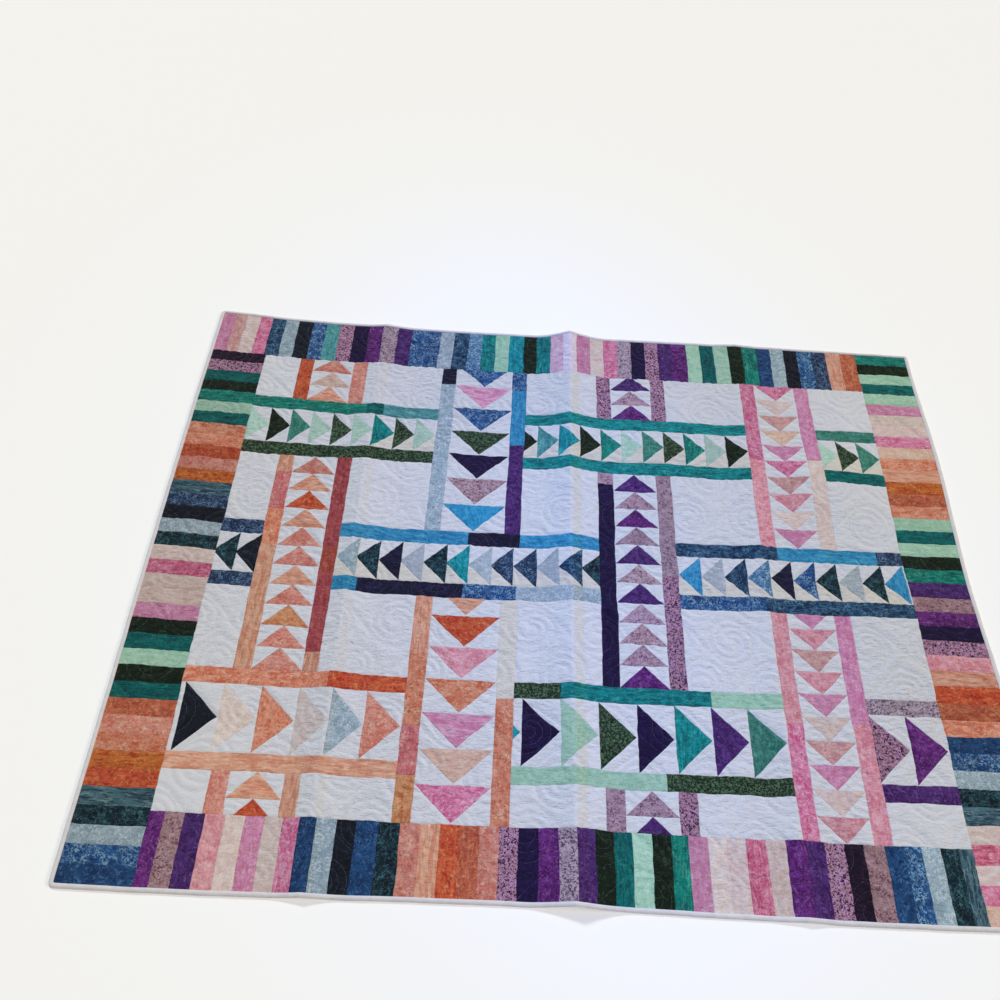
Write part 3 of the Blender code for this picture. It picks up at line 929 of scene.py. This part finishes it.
def patchworkCloth():
    material, shader, graph = newCotton("patchworkCotton", patchFinish["sheen"])
    finish = patchFinish
    cloth = graph.node("ShaderNodeUVMap", {"uv_map": "bolt"}, {})

    def kept(name, output):
        return graph.node("ShaderNodeAttribute", {"attribute_name": name}, {}, output)

    blotch, mottle, speck = [noise(cloth, *finish[name]) for name in ("blotch", "mottle", "speck")]
    streaked = stretched(cloth, finish["streak"])
    depth, length = kept("dye", "Alpha"), kept("second", "Alpha")
    marbling, specks = finish["marbling"], finish["specks"]
    marbled = (blotch * marbling["blotch"] + mottle * marbling["mottle"]).ramp(*marbling["edge"])
    marbled = marbled * marbling["share"] + speck.ramp(*specks["edge"]) * specks["share"]
    lengths = noise(streaked, *finish["length"]).ramp(*finish["lengthEdge"])
    dyed = marbled + (lengths - marbled) * length
    colour = mixed(dyed * depth, kept("dye", "Color"), kept("second", "Color"))
    # cloths with few flecks have light clouds or streaks instead
    amount = kept("fleck", "Alpha")
    clouds = noise(cloth, *finish["cloud"]).ramp(*finish["cloudEdge"])
    lightLengths = noise(streaked, *finish["lightLength"]).ramp(*finish["lightLengthEdge"])
    cloudy = (clouds + (lightLengths - clouds) * length) * depth
    cloudy = cloudy * (1.0 - amount).ramp(*finish["cloudLeast"]) * finish["cloudShare"]
    colour = mixed(cloudy, colour, kept("fleck", "Color"))
    perFleck, always = finish["fleckShare"]
    where = noise(cloth, *finish["fleckArea"]) + amount * finish["fleckSpread"]
    where = where.ramp(*finish["fleckAreaEdge"])
    flecks = noise(cloth, *finish["fleck"]).ramp(*finish["fleckEdge"]) * where * (amount * perFleck + always)
    colour = mixed(flecks, colour, kept("fleck", "Color"))
    seam = kept("nearSeam", "Fac") ** finish["seamPower"]
    # painted shade: the colour is darkened towards each seam, like the shadow in its ditch
    shaded = {"Value": 1.0 - seam * finish["paintedSeamShade"], "Color": colour}
    colour = graph.node("ShaderNodeHueSaturation", {}, shaded)
    # painted warm light, multiplied into the colour on the folds' right flanks
    colour = mixed(kept("paintedFoldLight", "Fac"), colour, finish["paintedWarmTint"], "MULTIPLY")
    weave = {"Vector": cloth, "Scale": finish["weave"] / (2 * pi), "Detail": 1.0}
    weave["Distortion"] = finish["weaveUneven"]
    threads = graph.node("ShaderNodeTexWave", {"bands_direction": "X"}, weave, "Fac")
    crossing = graph.node("ShaderNodeTexWave", {"bands_direction": "Y"}, weave, "Fac")
    places = graph.node("ShaderNodeTexCoord", {}, {}, "Object")
    crumple = noise(stretched(places, finish["crumple"]), *finish["crumpleNoise"])
    normal = bumped(crumple * kept("relief", "Fac"), *finish["crumpleBump"])
    normal = bumped(threads + crossing, *finish["weaveBump"], normal)
    normal = bumped(1.0 - seam, *finish["seamBump"], normal)
    colour.into(shader, "Base Color")
    normal.into(shader, "Normal")
    (finish["roughness"] + (mottle - 0.5) * finish["roughnessUneven"]).into(shader, "Roughness")
    return material


plainFinish = {
    "roughness": 0.82, "roughnessUneven": 0.08, "sheen": 0.12,
    "mottle": (60.0, 4.0, 0.6, 0.6), "mottleEdge": (0.35, 0.65),
    "crumple": (170.0, 3.0, 0.6, 0.5), "grain": (1500.0, 1.0, 0.5, 0.0), "grainShare": 0.12,
    "bump": (0.0012, 0.5),
    "binding": ((244, 241, 243), (232, 229, 233), 0.7),  # dye, second colour, and how speckled
    "backing": ((230, 229, 234), (212, 210, 220), 0.7),
    "thread": ((156, 153, 168), (140, 136, 152), 0.5),
}


def plainCotton(name, colour, shade, speckled):
    finish = plainFinish
    material, shader, graph = newCotton(name, finish["sheen"])
    places = graph.node("ShaderNodeTexCoord", {}, {}, "Object")
    mottle = noise(places, *finish["mottle"])
    share = mottle.ramp(*finish["mottleEdge"]) * speckled
    tint = mixed(share, (*linear(colour), 1.0), (*linear(shade), 1.0))
    crumple = noise(places, *finish["crumple"]) + noise(places, *finish["grain"]) * finish["grainShare"]
    tint.into(shader, "Base Color")
    bumped(crumple, *finish["bump"]).into(shader, "Normal")
    (finish["roughness"] + mottle * finish["roughnessUneven"]).into(shader, "Roughness")
    return material


cottonPrints = patchworkCloth()
bindingCotton = plainCotton("bindingCotton", *plainFinish["binding"])
backingCotton = plainCotton("backingCotton", *plainFinish["backing"])
threadFinish = plainCotton("quiltingThread", *plainFinish["thread"])


# meshes of the patched top

def putIn(name, data):
    made = bpy.data.objects.new(name, data)
    bpy.context.scene.collection.objects.link(made)
    return made


def meshOf(name, points, faces, material):
    mesh = bpy.data.meshes.new(name)
    sides = faces.shape[1]
    mesh.vertices.add(len(points))
    mesh.vertices.foreach_set("co", np.asarray(points, np.float32).ravel())
    mesh.loops.add(faces.size)
    mesh.loops.foreach_set("vertex_index", faces.astype(np.int32).ravel())
    mesh.polygons.add(len(faces))
    mesh.polygons.foreach_set("loop_start", np.arange(0, faces.size, sides, dtype=np.int32))
    mesh.polygons.foreach_set("loop_total", np.full(len(faces), sides, np.int32))
    mesh.polygons.foreach_set("use_smooth", np.ones(len(faces), bool))
    mesh.update(calc_edges=True)
    mesh.materials.append(material)
    return putIn(name, mesh)


def addMap(mesh, name, places):
    layer = mesh.uv_layers.new(name=name, do_init=False)
    layer.data.foreach_set("uv", np.asarray(places, np.float32).ravel())


bolts = {
    "seed": 23, "shift": 3.0,
    "turnedShare": 0.055,  # the share of patches that are cut across the cloth
    "tilt": 0.05, "uneven": 0.05, "hueDrift": 0.015,
    "contrast": (1.0, 1.3, 1.15),  # of the dye, the second colour and the light colour
    "darker": {"borderLeft": 0.89},
    "plain": ("white", "warmWhite"), "plainUneven": 0.15,
}


def cutFromBolts():
    # which stretch of its cloth each patch is cut from, and how its colours came out
    chance = np.random.default_rng(bolts["seed"])
    count = len(patches)
    upright = np.array([lengthwise for _, _, lengthwise in patches])
    angle = np.where(upright ^ (chance.random(count) < bolts["turnedShare"]), pi / 2, 0)
    angle = angle + chance.normal(0, bolts["tilt"], count)
    shift = chance.uniform(0, bolts["shift"], (count, 2))
    bright = 1 + chance.normal(0, bolts["uneven"], (count, 1))
    drift = 1 + chance.normal(0, bolts["hueDrift"], (count, 3))
    # the left border's strips are darker than the rest, by a given share
    pieceDarkening = np.array([bolts["darker"].get(pieceNames[piece], 1) for piece, _, _ in patches])
    dyes = np.array([linear(cloths[name][0]) for _, name, _ in patches])
    plain = np.array([name in bolts["plain"] for _, name, _ in patches])[:, None]
    colours = []
    for part, contrast in enumerate(bolts["contrast"]):
        rows = np.array([linear(cloths[name][part]) for _, name, _ in patches])
        rows = (dyes + (rows - dyes) * contrast) * pieceDarkening[:, None]
        share = np.array([cloths[name][3 + part] for _, name, _ in patches])
        tuned = np.where(plain, rows * (1 + (bright - 1) * bolts["plainUneven"]), rows * bright * drift)
        colours.append(np.concatenate([np.clip(tuned, 0, 1), share[:, None]], axis=1))
    return angle, shift, colours


grainAngle, boltShift, boltColours = cutFromBolts()


bakeMaps = {
    "centre": 1.01,  # the whole map, as a share of the field's width
    "margin": 3 * cell,  # round each row of a band, in inches
    "backing": 2.02,  # the whole map, as a share of half the quilt's width
    "bindingRow": 1.3, "bindingSlack": 1.02,  # from row to row, in girths, and past a row's end
}


def foldedMap(u, v, lengthwise, runs):
    # lays a long band out in short rows, so that its map is about square
    along, across = (v, u) if lengthwise == "down" else (u, v)
    middle = along.mean(axis=1, keepdims=True)
    gone = np.full_like(along, runs[0][0])
    for before, after in zip(runs, runs[1:]):
        gone = np.where(middle > (before[1] + after[0]) / 2, gone + after[0] - before[1], gone)
    placed = along - gone
    total = sum(end - start for start, end in runs)
    wide = across.max() - across.min()
    count = max(1, round((total / wide) ** 0.5))
    piece = total / count
    number = np.clip((placed.mean(axis=1, keepdims=True) // piece), 0, count - 1)
    margin = bakeMaps["margin"]
    side = max(piece + 2 * margin, count * (wide + 2 * margin))
    mapU = (placed - number * piece + margin) / side
    mapV = (across - across.min() + margin + number * (wide + 2 * margin)) / side
    return np.stack([mapU, mapV], axis=-1)


def patchedPiece(name, lengthwise, runs):
    number = pieceNames.index(name)
    flatPatch = patchOf.ravel()
    pieceOfPatch = np.array([piece for piece, _, _ in patches] + [-1])
    chosen = np.flatnonzero((flatPatch >= 0) & (pieceOfPatch[flatPatch] == number))
    corners = triangles.reshape(-1, 3)[chosen]
    own, faces = np.unique(corners, return_inverse=True)
    faces = faces.reshape(-1, 3)
    points = np.stack([topX.ravel()[own], topY.ravel()[own], topZ.ravel()[own]], axis=1)
    piece = meshOf(name, points, faces, cottonPrints)
    mesh = piece.data
    patch = flatPatch[chosen]
    for label, colours in zip(("dye", "second", "fleck"), boltColours):
        layer = mesh.attributes.new(label, "FLOAT_COLOR", "FACE")
        layer.data.foreach_set("color", colours[patch].astype(np.float32).ravel())
    for label, shares in (("nearSeam", onSeam), ("paintedFoldLight", foldLightShares), ("relief", relief)):
        layer = mesh.attributes.new(label, "FLOAT", "POINT")
        layer.data.foreach_set("value", shares.ravel()[own].astype(np.float32))
    x, y = planX.ravel()[corners], planY.ravel()[corners]
    angle, shift = grainAngle[patch][:, None], boltShift[patch]
    boltU = x * np.cos(angle) + y * np.sin(angle) + shift[:, :1]
    boltV = y * np.cos(angle) - x * np.sin(angle) + shift[:, 1:]
    u, v = x / inch, -y / inch
    if runs:
        addMap(mesh, "OFBake", foldedMap(u, v, lengthwise, runs))
    else:
        span = quilt["fieldWide"] * bakeMaps["centre"]
        addMap(mesh, "OFBake", np.stack([u / span + 0.5, 0.5 - v / span], axis=-1))
    addMap(mesh, "bolt", np.stack([boltU, boltV], axis=-1))
    print(name, len(faces), "triangles")
    return piece


def planRuns(band):
    middle = (quilt["fieldDeep"] if band["along"] == "down" else quilt["fieldWide"]) / 2
    return [(run["from"] - middle, run["to"] - middle) for run in band["runs"]]


def borderRuns(border):
    u0, v0, u1, v1 = borderBox(border)
    if border["along"] == "across":
        return [(u0 - quilt["fieldWide"] / 2 - cell, u1 - quilt["fieldWide"] / 2)]
    return [(v0 - quilt["fieldDeep"] / 2 - cell, v1 - quilt["fieldDeep"] / 2 + cell)]


tops = {"whiteGround": patchedPiece("whiteGround", "across", None)}
for band in bands:
    tops[band["piece"]] = patchedPiece(band["piece"], band["along"], planRuns(band))
for border in borders:
    tops[border["piece"]] = patchedPiece(border["piece"], border["along"], borderRuns(border))
print("top built")


# the binding, a folded strip that wraps the edge all the way round

bindingStrip = {
    "corner": 0.0125, "cornerSteps": 9,
    "section": (  # distance in from the edge, and level
        (0.0099, 0.0041), (0.0086, 0.0052), (0.0062, 0.0057), (0.0036, 0.0054), (0.0015, 0.0044),
        (0.0003, 0.0030), (0.0000, 0.0020), (0.0005, 0.0009), (0.0019, 0.0002), (0.0050, 0.0001),
        (0.0097, 0.0001), (0.0100, 0.0020),
    ),
    "spacing": 0.0045,
    "pucker": 0.0005, "puckerShare": 0.8,
    "longPuckers": (0.016, 31), "widePuckers": (0.045, 32), "waver": (0.09, 33),  # size and seed
    "widePuckerShare": 0.7, "across": 0.2,
    "puckersFrom": 0.0025, "puckersOver": 0.003,  # the level from which it puckers
}


def edgeStations():
    # places round the rounded outline in the plan, each with the way in
    radius = bindingStrip["corner"]
    places, inward = [], []
    turns = ((1, 1, 0), (-1, 1, pi / 2), (-1, -1, pi), (1, -1, 3 * pi / 2))
    for (sideX, sideY, start), (nextX, nextY, _) in zip(turns, turns[1:] + turns[:1]):
        centre = np.array([sideX * (halfWide - radius), sideY * (halfDeep - radius)])
        for angle in start + np.linspace(0, pi / 2, bindingStrip["cornerSteps"]):
            outward = np.array([cos(angle), sin(angle)])
            places.append(centre + radius * outward)
            inward.append(-outward)
        end = np.array([nextX * (halfWide - radius), nextY * (halfDeep - radius)])
        outward = np.array([cos(start + pi / 2), sin(start + pi / 2)])
        count = int(np.linalg.norm(end - centre) / bindingStrip["spacing"])
        for step in range(1, count):
            places.append(centre + radius * outward + (end - centre) * step / count)
            inward.append(-outward)
    return np.array(places), np.array(inward)


def bindingMap(run, section):
    # lays the strip out in rows, with its section going up each row
    girth = np.concatenate([[0], np.cumsum(np.linalg.norm(np.roll(section, -1, axis=0) - section, axis=1))])
    pitch = girth[-1] * bakeMaps["bindingRow"]
    rows = round((run[-1] / pitch) ** 0.5)
    length = run[-1] / rows
    row = np.minimum((run[:-1] + 1e-9) // length, rows - 1)
    start, end = run[:-1] - row * length, run[1:] - row * length
    mapU = np.stack([start, start, end, end], -1)[:, None, :]
    mapU = np.broadcast_to(mapU, (len(start), len(section), 4))
    mapV = np.stack([girth[:-1], girth[1:], girth[1:], girth[:-1]], -1)[None] + (row * pitch)[:, None, None]
    span = max(length * bakeMaps["bindingSlack"], rows * pitch)
    return np.stack([mapU / span, mapV / span], -1)


def makeBinding():
    strip = bindingStrip
    places, inward = edgeStations()
    section = np.array(strip["section"])
    count, sides = len(places), len(section)
    steps = np.linalg.norm(np.roll(places, -1, axis=0) - places, axis=1)
    run = np.concatenate([[0], np.cumsum(steps)])
    x = places[:, None, 0] + inward[:, None, 0] * section[None, :, 0]
    y = places[:, None, 1] + inward[:, None, 1] * section[None, :, 0]
    ring = np.broadcast_to(run[:-1, None], x.shape)
    uneven = softNoise(ring, x * strip["across"], *strip["longPuckers"])
    uneven = uneven + strip["widePuckerShare"] * softNoise(ring, y * strip["across"], *strip["widePuckers"])
    raised = np.clip((section[:, 1] - strip["puckersFrom"]) / strip["puckersOver"], 0, 1)
    level = section[None, :, 1] + strip["pucker"] * uneven * raised[None, :] * strip["puckerShare"]
    bx, by, bz = laid(x, y, level)
    wobble = strip["pucker"] * softNoise(ring, ring * 0, *strip["waver"])
    bx = bx + wobble * inward[:, None, 0]
    by = by + wobble * inward[:, None, 1]
    points = np.stack([bx, by, bz], axis=-1).reshape(-1, 3)
    here = np.arange(count)[:, None]
    side = np.arange(sides)[None, :]
    after, other = (here + 1) % count, (side + 1) % sides
    corners = (here * sides + side, here * sides + other, after * sides + other, after * sides + side)
    piece = meshOf("quiltBinding", points, np.stack(corners, axis=-1).reshape(-1, 4), bindingCotton)
    addMap(piece.data, "OFBake", bindingMap(run, section))
    return piece


binding = makeBinding()
print("binding built:", len(binding.data.polygons), "faces")


# the backing, the cloth underneath

backingSheet = {
    "spacing": 0.5,  # inches
    "clear": 0.0003, "drawnUp": 0.0008, "reach": 0.006,  # drawn up along the quilting
    "inBinding": 0.5,  # how much of the binding's width it goes into
    "edgeLevel": 0.0013,
}


def makeBacking():
    inset = quilt["binding"] * inch * backingSheet["inBinding"]
    stepsX = round(2 * halfWide / inch / backingSheet["spacing"])
    stepsY = round(2 * halfDeep / inch / backingSheet["spacing"])
    x, y = np.meshgrid(np.linspace(-halfWide + inset, halfWide - inset, stepsX + 1),
                       np.linspace(halfDeep - inset, -halfDeep + inset, stepsY + 1))
    away = fromQuilting(x, y)
    level = backingSheet["clear"] + backingSheet["drawnUp"] * np.exp(-(away / backingSheet["reach"]) ** 2)
    edge = np.ones(x.shape, bool)  # the outermost points go into the binding
    edge[1:-1, 1:-1] = False
    bx, by, bz = laid(x, y, np.where(edge, backingSheet["edgeLevel"], level))
    number = np.arange(x.size).reshape(x.shape)
    faces = np.stack([number[:-1, :-1], number[:-1, 1:], number[1:, 1:], number[1:, :-1]], -1).reshape(-1, 4)
    piece = meshOf("quiltBacking", np.stack([bx, by, bz], -1).reshape(-1, 3), faces, backingCotton)
    span = bakeMaps["backing"] * halfWide
    places = np.stack([x / span + 0.5, y / span + 0.5], -1).reshape(-1, 2)
    addMap(piece.data, "OFBake", places[faces.ravel()])
    return piece


backing = makeBacking()
print("backing built")


# quilting stitches, set along the sewn lines by Geometry Nodes

stitchSizes = {
    "Pitch": 0.0032, "Length": 0.0028, "Width": 0.00042, "Height": 0.00022,
    "Least": 0.86, "Most": 1.12,  # how much each one differs in size
    "Seed": 5,
}


def topHeightAt(x, y):
    # reads the top between its grid corners
    column = (x + halfWide) / (cell * inch)
    row = (halfDeep - y) / (cell * inch)
    c = np.clip(np.floor(column).astype(int), 0, cellsWide - 1)
    r = np.clip(np.floor(row).astype(int), 0, cellsDeep - 1)
    found = [between(grid, (r, r + 1), (c, c + 1), column - c, row - r) for grid in (topX, topY, topZ)]
    return np.stack(found, axis=1)


def sewnCurves():
    curve = bpy.data.curves.new("sewnLines", "CURVE")
    curve.dimensions = "3D"
    for line in sewnLines:
        points = topHeightAt(line[:, 0], line[:, 1])
        spline = curve.splines.new("POLY")
        spline.points.add(len(points) - 1)
        spline.points.foreach_set("co", np.concatenate([points, np.ones((len(points), 1))], 1).ravel())
    return putIn("sewnLines", curve)


def stitchTree():
    tree = bpy.data.node_groups.new("quiltingStitches", "GeometryNodeTree")
    face = tree.interface
    face.new_socket(name="Geometry", in_out="INPUT", socket_type="NodeSocketGeometry")
    for name, value in stitchSizes.items():
        kind = "NodeSocketInt" if isinstance(value, int) else "NodeSocketFloat"
        face.new_socket(name=name, in_out="INPUT", socket_type=kind)
    face.new_socket(name="Thread", in_out="INPUT", socket_type="NodeSocketMaterial")
    face.new_socket(name="Geometry", in_out="OUTPUT", socket_type="NodeSocketGeometry")

    def add(kind, links=(), **settings):
        made = tree.nodes.new(kind)
        for setting, value in settings.items():
            setattr(made, setting, value)
        for entry, source in links:
            if hasattr(source, "is_output"):
                tree.links.new(source, made.inputs[entry])
            else:
                made.inputs[entry].default_value = source
        return made

    given = add("NodeGroupInput").outputs
    spacing = (("Curve", given["Geometry"]), ("Length", given["Pitch"]))
    spaced = add("GeometryNodeResampleCurve", spacing, mode="LENGTH")
    # a stitch is a low pyramid, open underneath
    pyramid = (("Vertices", 4), ("Radius Top", 0.0), ("Radius Bottom", 0.5), ("Depth", 1.0))
    cone = add("GeometryNodeMeshCone", pyramid, fill_type="NONE")
    sides = (("X", given["Length"]), ("Y", given["Width"]), ("Z", given["Height"]))
    size = add("ShaderNodeCombineXYZ", sides)
    stitch = add("GeometryNodeTransform", (("Geometry", cone.outputs["Mesh"]), ("Scale", size.outputs[0])))
    # first turned to its line from above, then tilted to the slope
    along = add("GeometryNodeInputTangent").outputs[0]
    turning = "FunctionNodeAlignRotationToVector"
    heading = add(turning, (("Vector", along),), axis="X", pivot_axis="Z").outputs[0]
    tilted = add(turning, (("Rotation", heading), ("Vector", along)), axis="X", pivot_axis="AUTO").outputs[0]
    chances = ((2, given["Least"]), (3, given["Most"]), ("Seed", given["Seed"]))
    uneven = add("FunctionNodeRandomValue", chances, data_type="FLOAT").outputs[1]
    setting = (("Points", spaced.outputs["Curve"]), ("Instance", stitch.outputs["Geometry"]),
               ("Rotation", tilted), ("Scale", uneven))
    placed = add("GeometryNodeInstanceOnPoints", setting)
    solid = add("GeometryNodeRealizeInstances", (("Geometry", placed.outputs["Instances"]),))
    dressed = add("GeometryNodeSetMaterial", (("Geometry", solid.outputs[0]), ("Material", given["Thread"])))
    add("NodeGroupOutput", (("Geometry", dressed.outputs[0]),))
    return tree


def stitchMap(mesh):
    # every stitch has a peak and four corners, and is given a small square of the map
    spots = np.array([(0.5, 0.5), (0.1, 0.1), (0.9, 0.1), (0.9, 0.9), (0.1, 0.9)])
    points = np.empty(len(mesh.loops), np.int32)
    mesh.loops.foreach_get("vertex_index", points)
    stitch, corner = points // len(spots), points % len(spots)
    rows = ceil((len(mesh.vertices) / len(spots)) ** 0.5)
    addMap(mesh, "OFBake", (np.stack([stitch % rows, stitch // rows], -1) + spots[corner]) / rows)


def makeStitches():
    guide = sewnCurves()
    tree = stitchTree()
    modifier = guide.modifiers.new("stitches", "NODES")
    modifier.node_group = tree
    ids = {item.name: item.identifier for item in tree.interface.items_tree if item.in_out == "INPUT"}
    for name, value in stitchSizes.items():
        modifier[ids[name]] = value
    modifier[ids["Thread"]] = threadFinish
    graph = bpy.context.evaluated_depsgraph_get()
    mesh = bpy.data.meshes.new_from_object(guide.evaluated_get(graph))
    guide.modifiers.clear()
    bpy.data.objects.remove(guide, do_unlink=True)
    mesh.name = "quiltingStitches"
    stitchMap(mesh)
    return putIn("quiltingStitches", mesh)


stitches = makeStitches()
print("stitches sewn:", len(stitches.data.polygons), "faces")


# what rides, and what stands for what

for name, piece in tops.items():
    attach(piece, "root")
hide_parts("centre")
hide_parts("border_top")
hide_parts("border_right")
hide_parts("border_bottom")
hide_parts("border_left")
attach(binding, "root")
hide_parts("binding_top", "binding_right", "binding_bottom", "binding_left")
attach(backing, "root")
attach(stitches, "root")


# floor, light and camera

stageSet = {
    "floor": (0.95, 0.95, 0.95), "floorGlow": 0.25, "floorRoughness": 0.9, "floorHalf": 6.0,
    "coolSun": {"from": (-0.45, 0.62, 0.62), "width": 10, "power": 1.73, "tint": (0.79, 0.84, 0.84)},
    "warmSun": {"from": (0.88, -0.05, 0.46), "width": 18, "power": 1.31, "tint": (1.0, 0.84, 0.62)},
    "sunsAway": 3,
    "window": {"at": (0.03, 0.05, 0.62), "size": (0.3, 2.1), "turn": 14, "power": 2.8,
               "tint": (0.01, 0.24, 1.0)},
    "world": (0.88, 0.89, 0.88), "worldPower": 0.24,
    "camera": {"place": (-0.1477, -1.3213, 1.9746), "turn": (37.124, -1.686, 2.427), "lens": 36.21},
}


def plainStage():
    shape = bmesh.new()
    bmesh.ops.create_grid(shape, x_segments=1, y_segments=1, size=stageSet["floorHalf"])
    mesh = bpy.data.meshes.new("floor")
    shape.to_mesh(mesh)
    shape.free()
    floor = putIn("floor", mesh)
    paint = bpy.data.materials.new("paleFloor")
    paint.use_nodes = True
    shader = paint.node_tree.nodes["Principled BSDF"]
    setInputs(shader, {"Base Color": (*stageSet["floor"], 1), "Roughness": stageSet["floorRoughness"]})
    setInputs(shader, {"Emission Color": (1, 1, 1, 1), "Emission Strength": stageSet["floorGlow"]})
    mesh.materials.append(paint)


def newLight(name, kind):
    facts = stageSet[name]
    data = bpy.data.lights.new(name, kind)
    data.energy = facts["power"]
    data.color = facts["tint"]
    return facts, data, putIn(name, data)


def softSun(name):
    facts, data, light = newLight(name, "SUN")
    data.angle = radians(facts["width"])
    light.location = Vector(facts["from"]) * stageSet["sunsAway"]
    light.rotation_euler = Vector(facts["from"]).to_track_quat("Z", "Y").to_euler()


def windowLight():
    facts, data, light = newLight("window", "AREA")
    data.shape = "ELLIPSE"
    data.size, data.size_y = facts["size"]
    light.location = facts["at"]
    light.rotation_euler[2] = radians(facts["turn"])


def setStage():
    plainStage()
    softSun("coolSun")
    softSun("warmSun")
    windowLight()
    world = bpy.data.worlds.new("paleRoom")
    world.use_nodes = True
    sky = world.node_tree.nodes["Background"]
    setInputs(sky, {"Color": (*stageSet["world"], 1), "Strength": stageSet["worldPower"]})
    bpy.context.scene.world = world
    bpy.context.scene.view_settings.view_transform = "Standard"
    facts = stageSet["camera"]
    data = bpy.data.cameras.new("camera")
    data.lens = facts["lens"]
    data.sensor_width = 36  # millimetres, a full frame
    camera = putIn("camera", data)
    camera.location = facts["place"]
    camera.rotation_euler = [radians(turn) for turn in facts["turn"]]
    bpy.context.scene.camera = camera


setStage()
